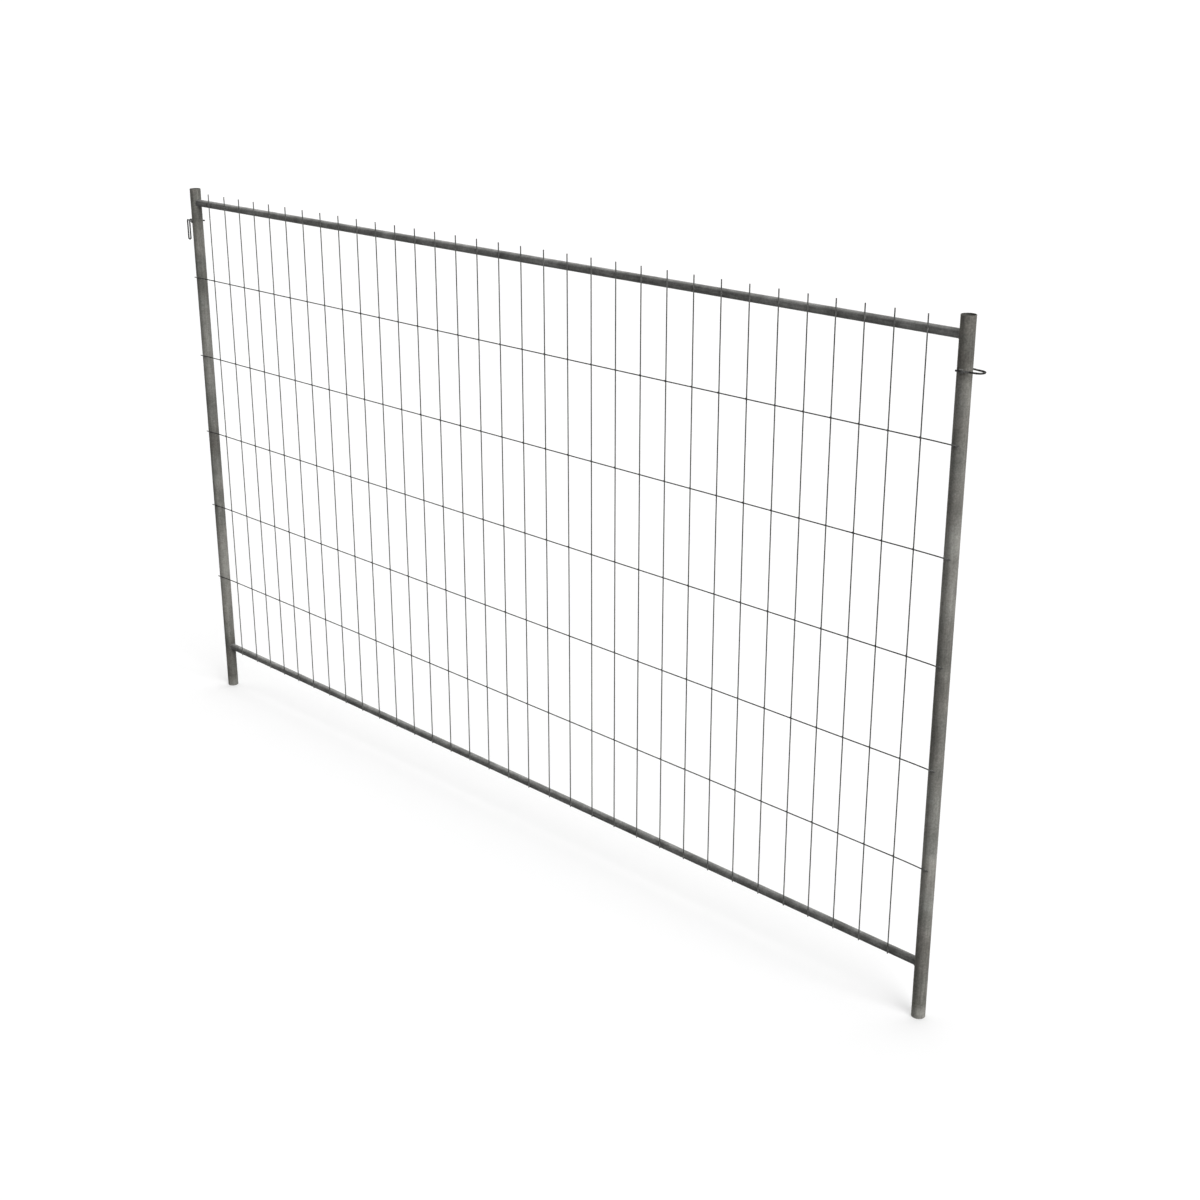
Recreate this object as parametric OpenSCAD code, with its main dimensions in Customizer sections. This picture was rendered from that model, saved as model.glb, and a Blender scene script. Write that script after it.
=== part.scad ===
// Temporary fence panel of galvanised steel: two round posts, two rails with coped ends,
// a welded wire mesh on the front, a drop hook on the left post and an eye on the right post.
// Lengths are in millimetres. +X runs along the panel, -Y is the mesh side, +Z is up.
// The origin is on the ground, midway between the posts.

/* [Panel] */
// Width over the outsides of the two posts
panel_w = 3450; // [2400:1:4200]
// Height of the posts
panel_h = 2000; // [1400:1:2400]

/* [Posts] */
// Outside diameter of the post tube
post_d = 40; // [38:0.1:60]
// Wall of the post tube
post_wall = 1.5; // [1:0.1:4]
// Chamfer on the cut ends of the post tube
post_chamfer = 0.4; // [0.1:0.05:0.45]

/* [Rails] */
// Outside diameter of the rail tube
rail_d = 25.4; // [18:0.1:28]
// Wall of the rail tube
rail_wall = 1.2; // [0.8:0.1:3]
// Height of the bottom rail's axis above the post feet
bottom_rail_h = 169.5; // [80:0.5:300]
// Depth of the top rail's axis below the post tops
top_rail_drop = 50.5; // [40:0.5:100]

/* [Mesh] */
// Diameter of the mesh wires
wire_d = 3.5; // [2:0.1:4]
// Distance from each post's axis to the nearest upright wire
edge_gap = 107.5; // [60:0.5:150]
// Spacing of the outermost two upright wires at each end
outer_pitch = 101.8; // [50:0.1:150]
// Spacing of the closer upright wires near each end
narrow_pitch = 93; // [50:0.5:150]
// Number of closer spaces near each end
narrow_spaces = 3; // [1:1:6]
// Spacing between the closer wires and the even middle field
step_pitch = 99; // [50:0.5:150]
// Number of even spaces in the middle field
main_spaces = 22; // [10:1:30]
// Number of horizontal wires
row_count = 5; // [2:1:8]
// Height of the lowest horizontal wire above the bottom rail's axis
row_rise = 304; // [60:0.5:400]
// Depth of the highest horizontal wire below the top rail's axis
row_drop = 277.5; // [200:0.5:400]
// Length of the horizontal wires past each post's axis
row_overhang = 13; // [2:0.5:18]
// Length of the upright wires above the top rail's axis
tip_rise = 40; // [16:0.5:60]
// Length of the upright wires below the bottom rail's axis
tail_drop = 8; // [4:0.5:60]

/* [Hook and eye] */
// Diameter of the wire of the hook and the eye
link_d = 5; // [4:0.1:7]
// Depth of the hook's arms below the post top
hook_drop = 119; // [90:0.5:160]
// Distance from the post's axis to the axes of the hook's legs
hook_reach = 61.5; // [50:0.5:80]
// Distance between the axes of the hook's two legs
hook_leg_pitch = 9; // [8.2:0.1:20]
// Length of the hook from the arms' axis to its lowest point
hook_len = 76; // [40:0.5:120]
// Radius of the wire's axis where the hook's arms turn down
hook_bend_r = 6; // [4:0.1:10]
// Length of the hook's arms past the post's axis
hook_stub = 7.5; // [2:0.5:20]
// Depth of the eye below the post top
eye_drop = 138; // [90:0.5:160]
// Distance from the post's axis to the tip of the eye
eye_reach = 59; // [52:0.5:80]
// Radius of the wire's axis round the nose of the eye
eye_nose_r = 16; // [8:0.5:20]
// Length of the eye's arms past the post's axis
eye_stub = 11.5; // [2:0.5:20]

/* [Welds] */
// Radius of the weld bead round each end of a rail
rail_bead_r = 1.4; // [1:0.1:3]
// Radius of the short weld beads that hold the hook and the eye
link_bead_r = 1.5; // [0.8:0.1:2.5]
// Length of those short weld beads between their round ends
link_bead_len = 8; // [4:0.5:12]
// Gap between the parts at every weld
weld_gap = 0.1; // [0.05:0.01:0.3]

/* [Hidden] */
round_sides = 48;
$fn = round_sides;

post_r = post_d / 2;
rail_r = rail_d / 2;
wire_r = wire_d / 2;
link_r = link_d / 2;
span = panel_w - post_d;

// Heights of the rails and of the hook's and eye's arms
bottom_rail_z = bottom_rail_h;
top_rail_z = panel_h - top_rail_drop;
hook_z = panel_h - hook_drop;
eye_z = panel_h - eye_drop;

// From the back: rails in line with the posts, upright wires on the rails, horizontal wires on those
upright_y = -(rail_r + weld_gap + wire_r);
row_y = upright_y - wire_d - weld_gap;

// Upright wires: the spaces at one end, the even middle field, then the same end mirrored
end_spaces = concat([outer_pitch], [for (i = [1 : narrow_spaces]) narrow_pitch], [step_pitch]);
end_count = len(end_spaces);
main_pitch = (span - 2 * edge_gap - 2 * sum_of(end_spaces, end_count)) / main_spaces;
spaces = concat(
    end_spaces,
    [for (i = [1 : main_spaces]) main_pitch],
    [for (i = [end_count - 1 : -1 : 0]) end_spaces[i]]
);
upright_count = len(spaces) + 1;
upright_foot_z = bottom_rail_z - tail_drop;
upright_len = top_rail_z + tip_rise - upright_foot_z;

// Horizontal wires: evenly spaced between the lowest and the highest
row_pitch = (top_rail_z - row_drop - bottom_rail_z - row_rise) / (row_count - 1);

// Past the outermost upright wires each horizontal wire bows forward, to lie on the fronts of the posts
lap_r = post_r + weld_gap + wire_r;
bow_r = (pow(edge_gap, 2) + pow(row_y, 2) - pow(lap_r, 2)) / (2 * (lap_r + row_y));
bow_sweep = asin((edge_gap + row_overhang) / bow_r);
bow_steps = 8;

// Distance from a post's axis to the axis of a wire that lies against the post
grip_r = post_r + weld_gap + link_r;

// Eye: its arms are tangents shared by the post and the round nose
eye_nose_x = eye_reach - link_r - eye_nose_r;
eye_taper = asin((grip_r - eye_nose_r) / eye_nose_x);
eye_arm_len = eye_nose_x * cos(eye_taper) + (eye_stub + grip_r * sin(eye_taper)) / cos(eye_taper);

// Hook: its arms are tangents from the legs to the post
hook_half = hook_leg_pitch / 2;
hook_leg_dist = norm([hook_reach, hook_half]);
hook_taper = asin(grip_r / hook_leg_dist) - atan2(hook_half, hook_reach);
hook_arm_len = (hook_reach + hook_stub) / cos(hook_taper) - hook_bend_r;
hook_leg_len = hook_len - link_r - hook_half - hook_bend_r;
hook_low_z = -(hook_bend_r + hook_leg_len);

// Angle by which each half of the eye's nose runs past the middle before it is cut there
nose_overrun = 15;
bend_steps = 16;

// Weld bead round a rail end: its centre line keeps the same distance from rail and post
bead_rail_r = rail_r + weld_gap + rail_bead_r;
bead_post_r = post_r + weld_gap + rail_bead_r;
bead_steps = 40;
bead_sides = 8;

// Height of a short bead above or below the axis of the wire that it holds
link_bead_lift = sqrt(pow(link_r + weld_gap + link_bead_r, 2) - pow(link_r - link_bead_r, 2));

tube_colour = "#6b6b67";
wire_colour = "#767672";
bead_colour = "#7f7f7a";

function sum_of(list, count) = count <= 0 ? 0 : list[count - 1] + sum_of(list, count - 1);
function two_digits(i) = str(i < 10 ? "0" : "", i);
function upright_name(i) = str("vertical_wire_", two_digits(i));
function row_name(i) = str("horizontal_wire_", i);
function upright_x(i) = -span / 2 + edge_gap + sum_of(spaces, i - 1);
function row_z(i) = bottom_rail_z + row_rise + (i - 1) * row_pitch;

// A point on the centre line of the bead, at an angle round the rail
function bead_centre(angle) =
    let (y = bead_rail_r * cos(angle))
    [sqrt(pow(bead_post_r, 2) - pow(y, 2)), y, bead_rail_r * sin(angle)];

// A point on the skin of the bead, at an angle round the rail and an angle round the bead
function bead_point(angle, turn) =
    let (
        centre = bead_centre(angle),
        off_rail = [0, cos(angle), sin(angle)],
        off_post = [centre[0], centre[1], 0] / bead_post_r,
        along = cross(off_rail, off_post),
        across = cross(along / norm(along), off_rail)
    )
    centre + rail_bead_r * (cos(turn) * off_rail + sin(turn) * across);

function bead_index(step, side) = (step % bead_steps) * bead_sides + side % bead_sides;

// Open tube with chamfered cut ends, turned from its wall section
module post_tube() {
    bore_r = post_r - post_wall;
    rotate_extrude()
        polygon([
            [bore_r + post_chamfer, 0],
            [post_r - post_chamfer, 0],
            [post_r, post_chamfer],
            [post_r, panel_h - post_chamfer],
            [post_r - post_chamfer, panel_h],
            [bore_r + post_chamfer, panel_h],
            [bore_r, panel_h - post_chamfer],
            [bore_r, post_chamfer]
        ]);
}

// Rail tube between the posts, each end coped to sit on the round of its post
module rail_tube() {
    difference() {
        translate([-span / 2, 0, 0])
            rotate([0, 90, 0])
            cylinder(d = rail_d, h = span);
        translate([-span, 0, 0])
            rotate([0, 90, 0])
            cylinder(d = rail_d - 2 * rail_wall, h = 2 * span);
        for (x = [-span / 2, span / 2])
            translate([x, 0, -rail_d])
            cylinder(r = post_r + weld_gap, h = 2 * rail_d);
    }
}

// Straight length of wire that runs back along -X
module wire_run(dia, len) {
    rotate([0, -90, 0])
        cylinder(d = dia, h = len);
}

// Arc of wire about the Z axis, from an angle through a sweep
module wire_arc(dia, radius, from, sweep, steps) {
    rotate([0, 0, from])
        rotate_extrude(angle = sweep, $fn = steps * 360 / sweep)
        translate([radius, 0])
        circle(d = dia, $fn = round_sides);
}

// Half of a horizontal wire: straight from the middle of the panel, then bowed onto the post
module row_half() {
    intersection() {
        translate([span / 2 - edge_gap, row_y, 0]) {
            wire_run(wire_d, span);
            mirror([1, 0, 0])
                translate([0, -bow_r, 0])
                wire_arc(wire_d, bow_r, 90, bow_sweep, bow_steps);
        }
        translate([0, -span, -wire_d])
            cube([span, 2 * span, 2 * wire_d]);
    }
}

// One arm of the eye with its half of the nose, cut at the middle of the loop
module eye_half() {
    intersection() {
        translate([eye_nose_x, 0, 0])
            rotate([0, 0, -eye_taper]) {
                translate([0, eye_nose_r, 0])
                    wire_run(link_d, eye_arm_len);
                mirror([1, 0, 0])
                    wire_arc(link_d, eye_nose_r, 90, 90 - eye_taper + nose_overrun, bend_steps);
            }
        translate([-2 * eye_reach, 0, -link_d])
            cube([4 * eye_reach, 2 * eye_reach, 2 * link_d]);
    }
}

// Eye on a post at the origin, reaching out along +X
module eye_loop() {
    for (side = [0, 1])
        mirror([0, side, 0])
        eye_half();
}

// One arm of the hook, its bend and its leg
module hook_half_loop() {
    translate([hook_reach, hook_half, 0]) {
        translate([0, 0, hook_low_z])
            cylinder(d = link_d, h = hook_leg_len);
        rotate([0, 0, -hook_taper])
            translate([-hook_bend_r, 0, 0]) {
                wire_run(link_d, hook_arm_len);
                translate([0, 0, -hook_bend_r])
                    rotate([90, 0, 0])
                    wire_arc(link_d, hook_bend_r, 0, 90, bend_steps);
            }
    }
}

// Hook on a post at the origin, reaching out along +X and down
module hook_loop() {
    for (side = [0, 1])
        mirror([0, side, 0])
        hook_half_loop();
    translate([hook_reach, 0, hook_low_z])
        rotate([0, 90, 0])
        wire_arc(link_d, hook_half, -90, 180, bend_steps);
}

// Short round-ended beads above and below both arms, where they touch the post
module link_beads(taper) {
    for (side = [0, 1], lift = [-link_bead_lift, link_bead_lift])
        mirror([0, side, 0])
        translate((post_r + weld_gap + link_bead_r) * [sin(taper), cos(taper), 0] + [0, 0, lift])
        rotate([0, 90, -taper]) {
            cylinder(r = link_bead_r, h = link_bead_len, center = true);
            for (z = [-link_bead_len / 2, link_bead_len / 2])
                translate([0, 0, z])
                sphere(r = link_bead_r);
        }
}

// Bead that runs round the saddle where a rail leaves a post at the origin along +X
module rail_bead() {
    points = [
        for (i = [0 : bead_steps - 1], j = [0 : bead_sides - 1])
            bead_point(360 * i / bead_steps, 360 * j / bead_sides)
    ];
    faces = [
        for (i = [0 : bead_steps - 1], j = [0 : bead_sides - 1], half = [0, 1])
            half == 0
                ? [bead_index(i, j), bead_index(i, j + 1), bead_index(i + 1, j + 1)]
                : [bead_index(i, j), bead_index(i + 1, j + 1), bead_index(i + 1, j)]
    ];
    polyhedron(points, faces);
}

module left_post() {
    color(tube_colour)
        translate([-span / 2, 0, 0])
        post_tube();
}

module right_post() {
    color(tube_colour)
        translate([span / 2, 0, 0])
        post_tube();
}

module top_rail() {
    color(tube_colour)
        translate([0, 0, top_rail_z])
        rail_tube();
}

module bottom_rail() {
    color(tube_colour)
        translate([0, 0, bottom_rail_z])
        rail_tube();
}

// Horizontal wire, counted from the bottom
module horizontal_wire(i) {
    color(wire_colour)
        translate([0, 0, row_z(i)])
        for (side = [0, 1])
            mirror([side, 0, 0])
            row_half();
}

// Upright wire, counted from the hook end
module vertical_wire(i) {
    color(wire_colour)
        translate([upright_x(i), upright_y, upright_foot_z])
        cylinder(d = wire_d, h = upright_len);
}

module hook() {
    color(wire_colour)
        translate([-span / 2, 0, hook_z])
        mirror([1, 0, 0])
        hook_loop();
}

module eye() {
    color(wire_colour)
        translate([span / 2, 0, eye_z])
        eye_loop();
}

module rail_welds() {
    color(bead_colour)
        for (z = [bottom_rail_z, top_rail_z], side = [0, 1])
            mirror([side, 0, 0])
            translate([-span / 2, 0, z])
            rail_bead();
}

module hook_welds() {
    color(bead_colour)
        translate([-span / 2, 0, hook_z])
        mirror([1, 0, 0])
        link_beads(hook_taper);
}

module eye_welds() {
    color(bead_colour)
        translate([span / 2, 0, eye_z])
        link_beads(eye_taper);
}

left_post();
right_post();
top_rail();
bottom_rail();
for (i = [1 : row_count]) horizontal_wire(i);
for (i = [1 : upright_count]) vertical_wire(i);
hook();
eye();
rail_welds();
hook_welds();
eye_welds();
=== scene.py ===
import bpy
import math
import random
from mathutils import Color, Matrix, Vector


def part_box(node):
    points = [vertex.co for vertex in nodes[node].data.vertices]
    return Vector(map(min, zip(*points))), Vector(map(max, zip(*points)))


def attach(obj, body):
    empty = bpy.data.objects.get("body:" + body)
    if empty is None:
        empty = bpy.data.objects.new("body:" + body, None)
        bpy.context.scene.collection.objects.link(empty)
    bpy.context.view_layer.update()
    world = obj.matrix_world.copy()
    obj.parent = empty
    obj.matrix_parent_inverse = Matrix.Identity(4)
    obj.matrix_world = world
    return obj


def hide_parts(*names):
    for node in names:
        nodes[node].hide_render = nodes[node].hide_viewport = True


# Fence panel: the tubes, wires, hook and eye are the frame's own parts and get their zinc finish here.
# The weld beads and the spot welds at the wire crossings are modelled here.
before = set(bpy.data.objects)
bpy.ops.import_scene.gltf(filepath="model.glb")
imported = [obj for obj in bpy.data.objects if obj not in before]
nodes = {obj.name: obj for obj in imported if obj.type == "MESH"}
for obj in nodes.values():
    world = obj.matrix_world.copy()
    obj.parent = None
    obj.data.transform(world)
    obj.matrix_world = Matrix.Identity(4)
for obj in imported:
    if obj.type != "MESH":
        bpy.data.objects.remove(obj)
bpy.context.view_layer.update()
print("frame loaded:", len(nodes), "parts")

rowNames = sorted(name for name in nodes if name.startswith("horizontal_wire_"))
uprightNames = sorted(name for name in nodes if name.startswith("vertical_wire_"))
postNames = ["left_post", "right_post"]
railNames = ["bottom_rail", "top_rail"]


def middle(name):
    low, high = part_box(name)
    return (low + high) / 2


def roundSize(name, axis):
    low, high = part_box(name)
    return (getattr(high, axis) - getattr(low, axis)) / 2


# radii and places read from the frame
postRadius = roundSize("left_post", "x")
railRadius = roundSize("bottom_rail", "z")
rowRadius = roundSize(rowNames[0], "z")
uprightPlaces = [middle(name) for name in uprightNames]
rowHeights = [middle(name).z for name in rowNames]
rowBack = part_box(rowNames[0])[1].y  # where the rows lie against the uprights
postPlaces = [middle(name) for name in postNames]
railHeights = [middle(name).z for name in railNames]


# camera, fitted to the photo's lines and post ends
cameraLook = {
    "lens": 53.036,
    "sensor": 36.0,
    "place": (4.10708, -3.67666, 2.83839),
    "azimuth": 45.0111,
    "level": 90,  # a new camera looks straight down
    "tilt": 20.2218,
    "farClip": 400.0,
}


def addCamera(look):
    data = bpy.data.cameras.new("camera")
    data.lens = look["lens"]
    data.sensor_width = look["sensor"]
    data.clip_end = look["farClip"]
    cam = bpy.data.objects.new("camera", data)
    cam.location = look["place"]
    cam.rotation_euler = (math.radians(look["level"] - look["tilt"]), 0, math.radians(look["azimuth"]))
    bpy.context.scene.collection.objects.link(cam)
    bpy.context.scene.camera = cam


# a soft lamp from the eye end, a wider one from behind, and an even fill
lightLook = {
    "key": {"strength": 2.66, "azimuth": -12.0, "height": 34.0, "angle": 45.0},
    "back": {"strength": 2.75, "azimuth": 138.0, "height": 36.0, "angle": 110.0},
    "fill": 0.12,
    "backdrop": 1.0,
    "fadeFrom": -0.1,  # the white backdrop fades out towards the camera
    "fadeTo": 0.7,
}


def addSun(name, look):
    data = bpy.data.lights.new(name, "SUN")
    data.energy = look["strength"]
    data.angle = math.radians(look["angle"])
    lamp = bpy.data.objects.new(name, data)
    turn = math.radians(look["azimuth"])
    lift = math.radians(look["height"])
    towards = Vector((math.cos(lift) * math.cos(turn), math.cos(lift) * math.sin(turn), math.sin(lift)))
    lamp.rotation_mode = "QUATERNION"
    lamp.rotation_quaternion = towards.to_track_quat("Z", "Y")
    bpy.context.scene.collection.objects.link(lamp)


def grey(level):
    return (level, level, level, 1)


def feed(tree, socket, value):
    # an output is linked to the socket, a number is set on it
    if isinstance(value, bpy.types.NodeSocket):
        tree.links.new(value, socket)
    else:
        socket.default_value = value


def spread(tree, value, low, high, toLow, toHigh):
    node = tree.nodes.new("ShaderNodeMapRange")
    feed(tree, node.inputs["Value"], value)
    feed(tree, node.inputs["From Min"], low)
    feed(tree, node.inputs["From Max"], high)
    feed(tree, node.inputs["To Min"], toLow)
    feed(tree, node.inputs["To Max"], toHigh)
    return node.outputs["Result"]


def reckon(tree, kind, *values):
    node = tree.nodes.new("ShaderNodeMath")
    node.operation = kind
    for socket, value in zip(node.inputs, values):
        feed(tree, socket, value)
    return node.outputs["Value"]


def mirrored(tree, path):
    # 1 for what is seen in a reflection or through glass
    return reckon(tree, "MAXIMUM", path.outputs["Is Glossy Ray"], path.outputs["Is Transmission Ray"])


def addWorld(look):
    world = bpy.data.worlds.new("studio")
    bpy.context.scene.world = world
    world.use_nodes = True
    tree = world.node_tree
    path = tree.nodes.new("ShaderNodeLightPath")
    coords = tree.nodes.new("ShaderNodeTexCoord")
    behind = tree.nodes.new("ShaderNodeVectorMath")  # 1 straight behind the panel, -1 at the camera
    behind.operation = "DOT_PRODUCT"
    turn = math.radians(cameraLook["azimuth"])
    feed(tree, behind.inputs[0], coords.outputs["Generated"])
    feed(tree, behind.inputs[1], (-math.sin(turn), math.cos(turn), 0))
    fade = spread(tree, behind.outputs["Value"], look["fadeFrom"], look["fadeTo"], 0, 1)
    shown = reckon(tree, "MULTIPLY", mirrored(tree, path), fade)
    seen = reckon(tree, "MAXIMUM", path.outputs["Is Camera Ray"], shown)
    back = tree.nodes["Background"]
    feed(tree, back.inputs["Color"], grey(1))
    feed(tree, back.inputs["Strength"], spread(tree, seen, 0, 1, look["fill"], look["backdrop"]))


# the floor is white where the camera sees it, with a faint shadow, and throws little light back
floorLook = {"size": 300.0, "white": 0.95, "bounce": 0.15, "shadow": 0.64}


def diffuse(tree, level):
    node = tree.nodes.new("ShaderNodeBsdfDiffuse")
    feed(tree, node.inputs["Color"], grey(level))
    return node


def mixShaders(tree, amount, first, second):
    node = tree.nodes.new("ShaderNodeMixShader")
    feed(tree, node.inputs["Fac"], amount)
    feed(tree, node.inputs[1], first.outputs[0])
    feed(tree, node.inputs[2], second.outputs[0])
    return node


def addFloor(look):
    bpy.ops.object.select_all(action="DESELECT")
    bpy.ops.mesh.primitive_plane_add(size=look["size"])
    floor = bpy.context.object
    floor.name = "floor"
    mat = bpy.data.materials.new("paleFloor")
    mat.use_nodes = True
    mat.cycles.emission_sampling = "NONE"
    tree = mat.node_tree
    tree.nodes.clear()
    clear = tree.nodes.new("ShaderNodeEmission")
    pale = mixShaders(tree, look["shadow"], clear, diffuse(tree, look["white"]))
    path = tree.nodes.new("ShaderNodeLightPath")
    shown = reckon(tree, "MAXIMUM", path.outputs["Is Camera Ray"], mirrored(tree, path))
    surface = mixShaders(tree, shown, diffuse(tree, look["bounce"]), pale)
    out = tree.nodes.new("ShaderNodeOutputMaterial")
    feed(tree, out.inputs["Surface"], surface.outputs[0])
    floor.data.materials.append(mat)


addCamera(cameraLook)
addSun("keyLamp", lightLook["key"])
addSun("backLamp", lightLook["back"])
addWorld(lightLook)
addFloor(floorLook)
bpy.context.scene.view_settings.view_transform = "Standard"
print("camera, lamps and floor set")


# zinc finishes
fullWhite = 255  # colours are written from 0 to this
mixSockets = {"under": 6, "over": 7, "result": 2}  # the colour sockets of a Mix node
noiseRange = (0.3, 0.7)  # most of a noise lies between these
# detail and roughness
noiseKinds = {"patch": (6, 0.66), "tint": (2, 0.5), "streak": (3, 0.5), "grain": (3, 0.6)}


def toLinear(rgb):
    return (*Color([value / fullWhite for value in rgb]).from_srgb_to_scene_linear(), 1)


def axes(tree, vector):
    node = tree.nodes.new("ShaderNodeSeparateXYZ")
    feed(tree, node.inputs["Vector"], vector)
    return node.outputs


def noise(tree, vector, kind, scale):
    detail, rough = noiseKinds[kind]
    tex = tree.nodes.new("ShaderNodeTexNoise")
    feed(tree, tex.inputs["Vector"], vector)
    feed(tree, tex.inputs["Scale"], scale)
    feed(tree, tex.inputs["Detail"], detail)
    feed(tree, tex.inputs["Roughness"], rough)
    return tex.outputs["Fac"]


def ramp(tree, value, stops):
    node = tree.nodes.new("ShaderNodeValToRGB")
    band = node.color_ramp
    for place, colour in stops[1:-1]:
        band.elements.new(place)
    for element, (place, colour) in zip(band.elements, stops):
        element.position = place
        element.color = colour
    feed(tree, node.inputs["Fac"], value)
    return node.outputs["Color"]


def blend(tree, kind, amount, under, over):
    node = tree.nodes.new("ShaderNodeMix")
    node.data_type = "RGBA"
    node.blend_type = kind
    feed(tree, node.inputs["Factor"], amount)
    feed(tree, node.inputs[mixSockets["under"]], under)
    feed(tree, node.inputs[mixSockets["over"]], over)
    return node.outputs[mixSockets["result"]]


def shade(tree, colour, level):
    return blend(tree, "MULTIPLY", 1, colour, level)


def shadeBore(tree, colour, coords, look):
    # both posts stand equally far from the middle, so one distance from the axis serves both
    # painted shade: the inner wall of the bore is darkened
    place = axes(tree, coords.outputs["Object"])
    fromMiddle = reckon(tree, "ABSOLUTE", place["X"])
    flat = tree.nodes.new("ShaderNodeCombineXYZ")
    feed(tree, flat.inputs["X"], reckon(tree, "SUBTRACT", fromMiddle, abs(postPlaces[0].x)))
    feed(tree, flat.inputs["Y"], place["Y"])
    radius = tree.nodes.new("ShaderNodeVectorMath")
    radius.operation = "LENGTH"
    feed(tree, radius.inputs[0], flat.outputs["Vector"])
    wall = [share * postRadius for share in look["wallShares"]]
    return shade(tree, colour, spread(tree, radius.outputs["Value"], *wall, look["shade"], 1))


def soilAndShadePost(tree, colour, coords, bands):
    # painted shade low on the post, under the bottom rail and near the top rail, with soiling in bands up
    # the post, all above the rubbed foot
    height = axes(tree, coords.outputs["Object"])["Z"]
    share = spread(tree, height, 0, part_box("left_post")[1].z, 0, 1)
    soilAndShade = ramp(tree, share, [(place, grey(level)) for place, level in bands])
    return blend(tree, "SOFT_LIGHT", 1, colour, soilAndShade)


def paintRailLight(tree, colour, coords, look):
    # painted light: the upper side painted paler than the front, as if lit from above, most of all at the
    # hook end, and the lower front painted paler, as if lit from the floor, the top rail's more than the
    # bottom rail's
    place = axes(tree, coords.outputs["Object"])
    facing = axes(tree, coords.outputs["Normal"])["Z"]
    upper = spread(tree, place["X"], postPlaces[0].x, postPlaces[1].x, look["hookEnd"], look["eyeEnd"])
    colour = shade(tree, colour, spread(tree, facing, look["topFrom"], look["topTo"], look["front"], upper))
    lower = spread(tree, place["Z"], *railHeights, look["underBottom"], look["underTop"])
    return shade(tree, colour, spread(tree, facing, look["underTo"], look["underFrom"], lower, 1))


def bloomAndSheen(tree, colour, value, place, radius, look):
    # the wire paler where it lies on a tube: bloom from the heat of the weld, and on the eye's arm a
    # painted highlight
    gap = reckon(tree, "ABSOLUTE", reckon(tree, "SUBTRACT", value, place))
    return shade(tree, colour, spread(tree, gap, radius, radius * look["fade"], look["level"], 1))


def bloomOnRails(tree, colour, coords, look):
    height = axes(tree, coords.outputs["Object"])["Z"]
    for place in railHeights:
        colour = bloomAndSheen(tree, colour, height, place, railRadius, look)
    return colour


def bloomAndSheenOnPosts(tree, colour, coords, look):
    # moved towards the outside of the panel and narrowed, both as shares of the post's radius
    along = axes(tree, coords.outputs["Object"])["X"]
    for post in postPlaces:
        place = post.x + math.copysign(look["shift"] * postRadius, post.x)
        colour = bloomAndSheen(tree, colour, along, place, look["width"] * postRadius, look)
    return colour


# steps added to a finish: painted shade and light, soiling and weld bloom
wearAndLightKinds = {
    "bore": shadeBore,
    "soilAndShade": soilAndShadePost,
    "paintedRailLight": paintRailLight,
    "railBloom": bloomOnRails,
    "postBloomAndSheen": bloomAndSheenOnPosts,
}


def zincMaterial(name, look):
    mat = bpy.data.materials.new(name)
    mat.use_nodes = True
    tree = mat.node_tree
    shader = tree.nodes["Principled BSDF"]
    coords = tree.nodes.new("ShaderNodeTexCoord")
    plain = coords.outputs["Object"]
    drawn = tree.nodes.new("ShaderNodeMapping")  # stretched along the tube
    feed(tree, drawn.inputs["Vector"], plain)
    feed(tree, drawn.inputs["Scale"], look["draw"])
    patches = noise(tree, plain, "patch", look["patchScale"])
    tints = noise(tree, plain, "tint", look["tintScale"])
    streaks = noise(tree, drawn.outputs["Vector"], "streak", look["streakScale"])
    grain = noise(tree, plain, "grain", look["grainScale"])
    colour = ramp(tree, patches, [(place, toLinear(rgb)) for place, rgb in look["patches"]])
    tint = ramp(tree, tints, [(place, toLinear(rgb)) for place, rgb in look["tints"]])
    colour = blend(tree, "SOFT_LIGHT", look["tintAmount"], colour, tint)
    for pattern, depth in ((streaks, look["streakDepth"]), (grain, look["grainDepth"])):
        colour = shade(tree, colour, spread(tree, pattern, *noiseRange, 1 - depth, 1 + depth))
    for kind, marking in wearAndLightKinds.items():
        if kind in look:
            colour = marking(tree, colour, coords, look[kind])
    bump = tree.nodes.new("ShaderNodeBump")
    feed(tree, bump.inputs["Strength"], look["bump"])
    feed(tree, bump.inputs["Distance"], look["bumpDepth"])
    feed(tree, bump.inputs["Height"], grain)
    feed(tree, shader.inputs["Base Color"], colour)
    feed(tree, shader.inputs["Roughness"], spread(tree, patches, *noiseRange, *look["rough"]))
    feed(tree, shader.inputs["Normal"], bump.outputs["Normal"])
    feed(tree, shader.inputs["Metallic"], look["metal"])
    feed(tree, shader.inputs["Specular IOR Level"], look["shine"])
    feed(tree, shader.inputs["Specular Tint"], grey(look["edge"]))
    return mat


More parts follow.
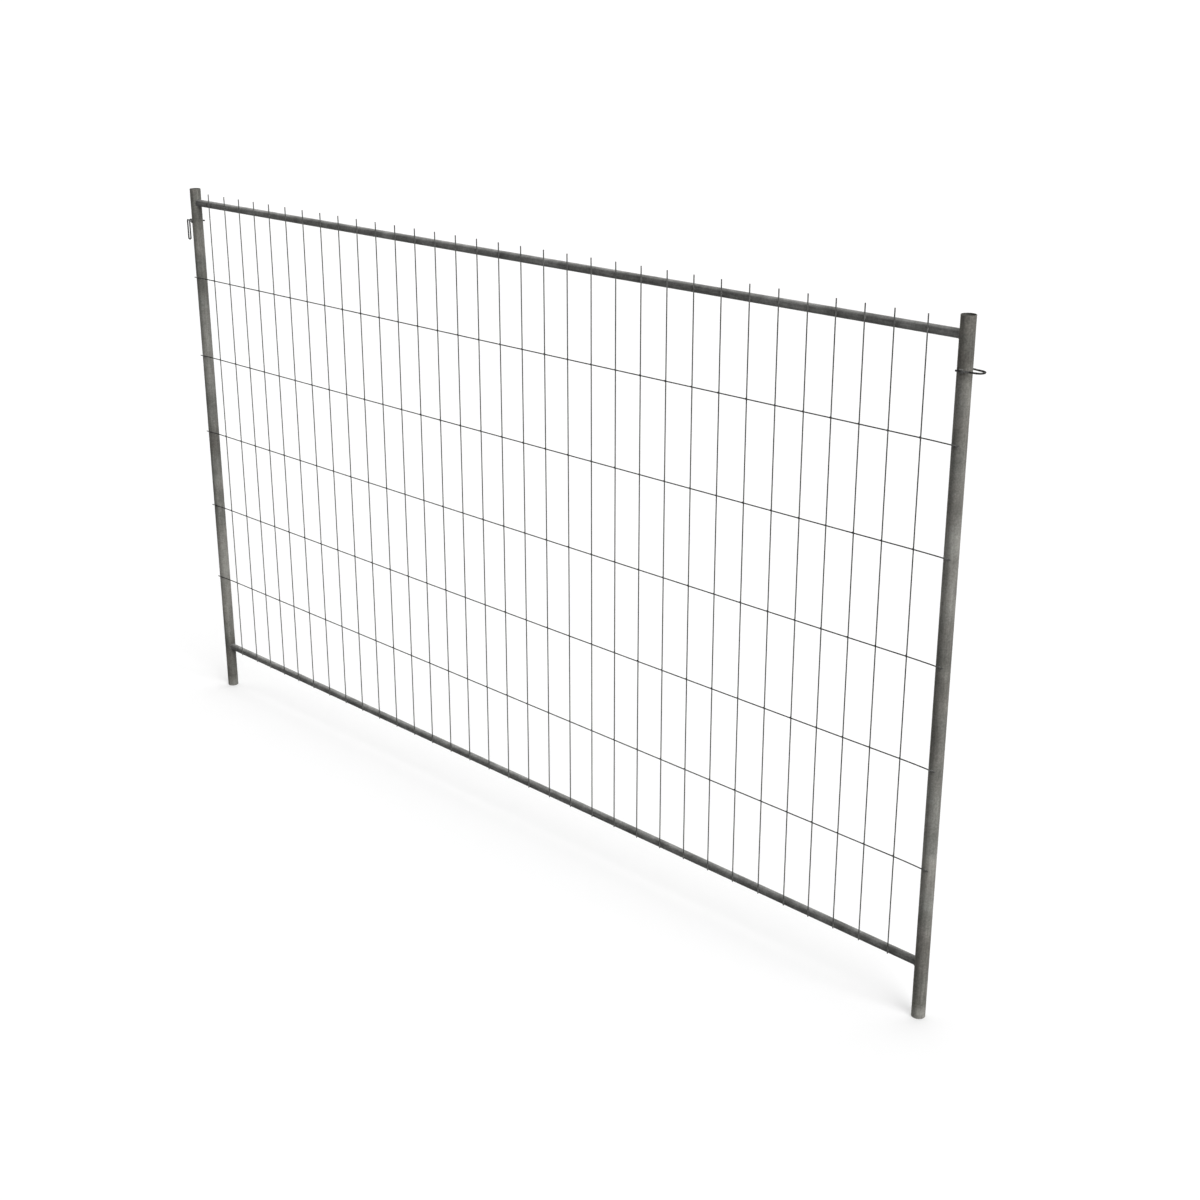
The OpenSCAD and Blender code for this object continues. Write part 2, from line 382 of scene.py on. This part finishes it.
# what the finishes share, then each piece's own
zincLook = {
    "draw": (1, 1, 1),
    "tintScale": 9.0,
    "tints": [(0.35, (132, 126, 118)), (0.65, (124, 130, 125))],
    "tintAmount": 0.12,
    "streakScale": 160.0,
    "streakDepth": 0.22,
    "grainScale": 200.0,
    "grainDepth": 0.2,
    "bump": 0.3,
    "bumpDepth": 0.0006,
    "shine": 0.06,
    "edge": 0.3,
}
postLook = {
    **zincLook,
    "draw": (1, 1, 0.06),
    "patchScale": 7.5,
    "patches": [(0.30, (132, 131, 127)), (0.50, (155, 154, 150)), (0.70, (177, 176, 171))],
    "tintAmount": 0.5,
    "streakDepth": 0.16,
    "grainDepth": 0.22,
    "rough": (0.75, 0.6),
    "metal": 0.05,
    # painted shade on the inner wall of the bore
    "bore": {"wallShares": (0.94, 0.97), "shade": 0.7},
    # share of the height, level: painted shade low down and at the top, soiling bands between
    "soilAndShade": [(0.0, 0.68), (0.01, 0.65), (0.023, 0.28), (0.1, 0.33), (0.25, 0.64), (0.37, 0.44), (0.44, 0.5),
             (0.52, 0.35), (0.69, 0.62), (0.84, 0.44), (0.9, 0.46), (0.95, 0.3)],
}
railLook = {
    **zincLook,
    "draw": (0.06, 1, 1),
    "patchScale": 11.0,
    "patches": [(0.30, (104, 104, 102)), (0.50, (130, 130, 128)), (0.70, (156, 156, 154))],
    "rough": (0.6, 0.45),
    "metal": 0.15,
    # painted light on the rails: tops paler as if lit from above, most at the hook end, lower fronts paler
    # as if lit from the floor
    "paintedRailLight": {
        "front": 0.72,
        "hookEnd": 1.42,
        "eyeEnd": 0.88,
        "topFrom": 0.5,
        "topTo": 0.95,
        "underBottom": 1.0,
        "underTop": 1.3,
        "underFrom": 0.4,
        "underTo": 0.0,
    },
}
wireLook = {
    **zincLook,
    "patchScale": 30.0,
    "grainScale": 600.0,
    "bumpDepth": 0.0002,
    "rough": (0.4, 0.3),
    "metal": 0.6,
    "edge": 0.1,
}
uprightLook = {
    **wireLook,
    "patches": [(0.30, (70, 70, 69)), (0.50, (82, 82, 81)), (0.72, (96, 96, 95))],
    "railBloom": {"level": 1.8, "fade": 1.3},
}
rowLook = {
    **wireLook,
    "patches": [(0.30, (54, 54, 53)), (0.50, (66, 66, 65)), (0.72, (78, 78, 77))],
    "postBloomAndSheen": {"level": 2.6, "fade": 1.6, "shift": 0.5, "width": 0.7},
}
eyeLook = {
    **wireLook,
    "patches": [(0.30, (58, 58, 57)), (0.50, (70, 70, 69)), (0.72, (84, 84, 83))],
    "rough": (0.35, 0.25),
    # on the eye, a painted highlight on the arm just outside the post
    "postBloomAndSheen": {"level": 2.6, "fade": 1.6, "shift": 0.8, "width": 0.4},
}
hookLook = {
    **eyeLook,
    "postBloomAndSheen": {"level": 2.2, "fade": 1.4, "shift": 0.5, "width": 0.5},
}
beadLook = {
    **zincLook,
    "patchScale": 120.0,
    "patches": railLook["patches"],
    "rough": railLook["rough"],
    "metal": railLook["metal"],
}

postZinc = zincMaterial("postZinc", postLook)
railZinc = zincMaterial("railZinc", railLook)
wireZinc = zincMaterial("wireZinc", uprightLook)
rowZinc = zincMaterial("rowZinc", rowLook)
eyeZinc = zincMaterial("eyeZinc", eyeLook)
hookZinc = zincMaterial("hookZinc", hookLook)
beadZinc = zincMaterial("beadZinc", beadLook)


def finishPart(part, mat):
    part.data.materials.clear()
    part.data.materials.append(mat)


for name in postNames:
    finishPart(nodes[name], postZinc)
for name in railNames:
    finishPart(nodes[name], railZinc)
for name in rowNames:
    finishPart(nodes[name], rowZinc)
for name in uprightNames:
    finishPart(nodes[name], wireZinc)
finishPart(nodes["eye"], eyeZinc)
finishPart(nodes["hook"], hookZinc)
print("zinc finishes on")


# weld beads, lofted ring by ring with a step for each puddle
beadShape = {"sides": 10, "puddles": (0.92, 1.02, 1.07), "wander": 0.04, "smooth": 50.0, "seed": 7}
beadDice = random.Random(beadShape["seed"])


def loftBead(name, places, radii, closed):
    last = len(places) - 1
    for index, place in enumerate(places):
        before = places[index - 1] if closed or index > 0 else place
        after = places[(index + 1) % len(places)] if closed or index < last else place
        turn = (after - before).to_track_quat("Z", "Y").to_euler()
        bpy.ops.mesh.primitive_circle_add(
            vertices=beadShape["sides"], radius=radii[index], location=place, rotation=turn)
        if index == 0:
            bead = bpy.context.object
            bead.name = name
            bpy.ops.object.transform_apply(location=True, rotation=True, scale=True)
            bpy.ops.object.mode_set(mode="EDIT")
    bpy.ops.mesh.select_all(action="SELECT")
    bpy.ops.mesh.bridge_edge_loops(type="CLOSED" if closed else "SINGLE")
    bpy.ops.mesh.select_all(action="SELECT")
    bpy.ops.mesh.fill_holes(sides=beadShape["sides"])
    bpy.ops.mesh.select_all(action="SELECT")
    bpy.ops.mesh.normals_make_consistent(inside=False)
    bpy.ops.object.mode_set(mode="OBJECT")
    bpy.ops.object.shade_smooth_by_angle(angle=math.radians(beadShape["smooth"]))
    return bead


def puddleRadii(count, radius):
    steps = beadShape["puddles"]
    sizes = []
    for index in range(count):
        if index % len(steps) == 0:
            drift = 1 + beadDice.uniform(-beadShape["wander"], beadShape["wander"])
        sizes.append(radius * drift * steps[index % len(steps)])
    return sizes


def joinPieces(pieces, name):
    bpy.ops.object.select_all(action="DESELECT")
    for piece in pieces:
        piece.select_set(True)
    bpy.context.view_layer.objects.active = pieces[0]
    bpy.ops.object.join()
    pieces[0].name = name
    return pieces[0]


def copyPiece(piece, move):
    twin = piece.copy()
    twin.data = piece.data.copy()
    twin.data.transform(move)
    bpy.context.scene.collection.objects.link(twin)
    return twin


# the bead round a rail end follows the saddle where the rail meets the post
railBeadLook = {"puddleLength": 0.0019, "sink": 0.55, "slim": 0.65}  # slim is a share of the solid bead


def makeRailBeads(look):
    # how far the solid bead stands off the rail
    reach = railHeights[0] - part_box("rail_welds")[0].z - railRadius
    beadRadius = look["slim"] * reach / (1 + look["sink"])
    ringRadius = railRadius + look["sink"] * beadRadius
    saddleRadius = postRadius + look["sink"] * beadRadius
    perPuddle = len(beadShape["puddles"])
    count = perPuddle * round(2 * math.pi * ringRadius / look["puddleLength"])
    places = []
    for index in range(count):
        angle = 2 * math.pi * index / count
        side = ringRadius * math.cos(angle)
        out = math.sqrt(saddleRadius ** 2 - side ** 2)
        places.append(Vector((postPlaces[0].x + out, side, railHeights[0] + ringRadius * math.sin(angle))))
    first = loftBead("railBead", places, puddleRadii(count, beadRadius), True)
    turned = Matrix.Rotation(math.pi, 4, "Z")  # the other post's bead
    lift = Matrix.Translation((0, 0, railHeights[1] - railHeights[0]))
    beads = [first] + [copyPiece(first, move) for move in (turned, lift, lift @ turned)]
    return joinPieces(beads, "rail_weld_beads")


# short beads above and below the arms of the hook and the eye
linkBeadLook = {"puddleLength": 0.0013, "fatten": 1.25, "taper": (0.45, 0.8)}


def makeLinkBeads(nodeName, look):
    points = [corner.co for corner in nodes[nodeName].data.vertices]
    centre = middle(nodeName)
    beads = []
    for front in (True, False):
        for upper in (True, False):
            own = [p for p in points if (p.y < centre.y) == front and (p.z > centre.z) == upper]
            mean = sum(own, Vector()) / len(own)
            ahead = sum((p - mean for p in own if p.x > mean.x), Vector()).normalized()
            along = [(p - mean).dot(ahead) for p in own]
            radius = (max(p.z for p in own) - min(p.z for p in own)) / 2
            start = mean + ahead * min(along)
            length = max(along) - min(along)
            count = len(beadShape["puddles"]) * round(length / look["puddleLength"])
            radii = puddleRadii(count, radius * look["fatten"])
            for place, share in enumerate(look["taper"]):
                radii[place] *= share
                radii[-1 - place] *= share
            places = [start + ahead * length * index / (count - 1) for index in range(count)]
            beads.append(loftBead("linkBead", places, radii, False))
    return joinPieces(beads, nodeName.replace("welds", "weld_beads"))


def dressWeld(piece, mat):
    finishPart(piece, mat)
    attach(piece, "root")


for nodeName, piece in (
    ("rail_welds", makeRailBeads(railBeadLook)),
    ("hook_welds", makeLinkBeads("hook_welds", linkBeadLook)),
    ("eye_welds", makeLinkBeads("eye_welds", linkBeadLook)),
):
    dressWeld(piece, beadZinc)
    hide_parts(nodeName)
print("weld beads lofted")


# metal squeezed out at the spot welds, where the wires cross each other, the rails and the posts
spotLook = {
    "cuts": 2,
    "round": 0.85,
    "spread": 1.5,  # in wire widths
    "depth": 0.8,
    "turn": 9.0,
    "vary": 0.1,
    "seed": 21,
    "rowShape": (1, 1, 1),
    "railShape": (0.9, 0.8, 1.3),
    "postShape": (1.2, 0.8, 0.9),
}
spotDice = random.Random(spotLook["seed"])


def makeSpotWeld(look):
    bpy.ops.object.select_all(action="DESELECT")
    bpy.ops.mesh.primitive_cube_add(size=2 * rowRadius)
    spot = bpy.context.object
    bpy.ops.object.mode_set(mode="EDIT")
    bpy.ops.mesh.select_all(action="SELECT")
    bpy.ops.mesh.subdivide(number_cuts=look["cuts"])
    bpy.ops.transform.tosphere(value=look["round"])
    bpy.ops.transform.resize(value=(look["spread"], look["depth"], look["spread"]))
    bpy.ops.object.mode_set(mode="OBJECT")
    bpy.ops.object.shade_smooth()
    return spot


def spreadSpots(name, spot, places, shape, mat):
    spots = []
    for place in places:
        turn = Matrix.Rotation(math.radians(spotDice.uniform(-spotLook["turn"], spotLook["turn"])), 4, "Y")
        grow = 1 + spotDice.uniform(-spotLook["vary"], spotLook["vary"])
        size = Matrix.Diagonal([side * grow for side in shape] + [1])
        spots.append(copyPiece(spot, Matrix.Translation(place) @ turn @ size))
    piece = joinPieces(spots, name)
    dressWeld(piece, mat)


spot = makeSpotWeld(spotLook)
for number, height in enumerate(rowHeights, 1):
    crossings = [Vector((place.x, rowBack, height)) for place in uprightPlaces]
    spreadSpots("spot_welds_row_%d" % number, spot, crossings, spotLook["rowShape"], wireZinc)
for railName, height in zip(railNames, railHeights):
    contacts = [Vector((place.x, -railRadius, height)) for place in uprightPlaces]
    spreadSpots("spot_welds_" + railName, spot, contacts, spotLook["railShape"], wireZinc)
for postName, place in zip(postNames, postPlaces):
    contacts = [Vector((place.x, -postRadius, height)) for height in rowHeights]
    spreadSpots("spot_welds_" + postName, spot, contacts, spotLook["postShape"], beadZinc)
bpy.data.objects.remove(spot)
print("spot welds placed")
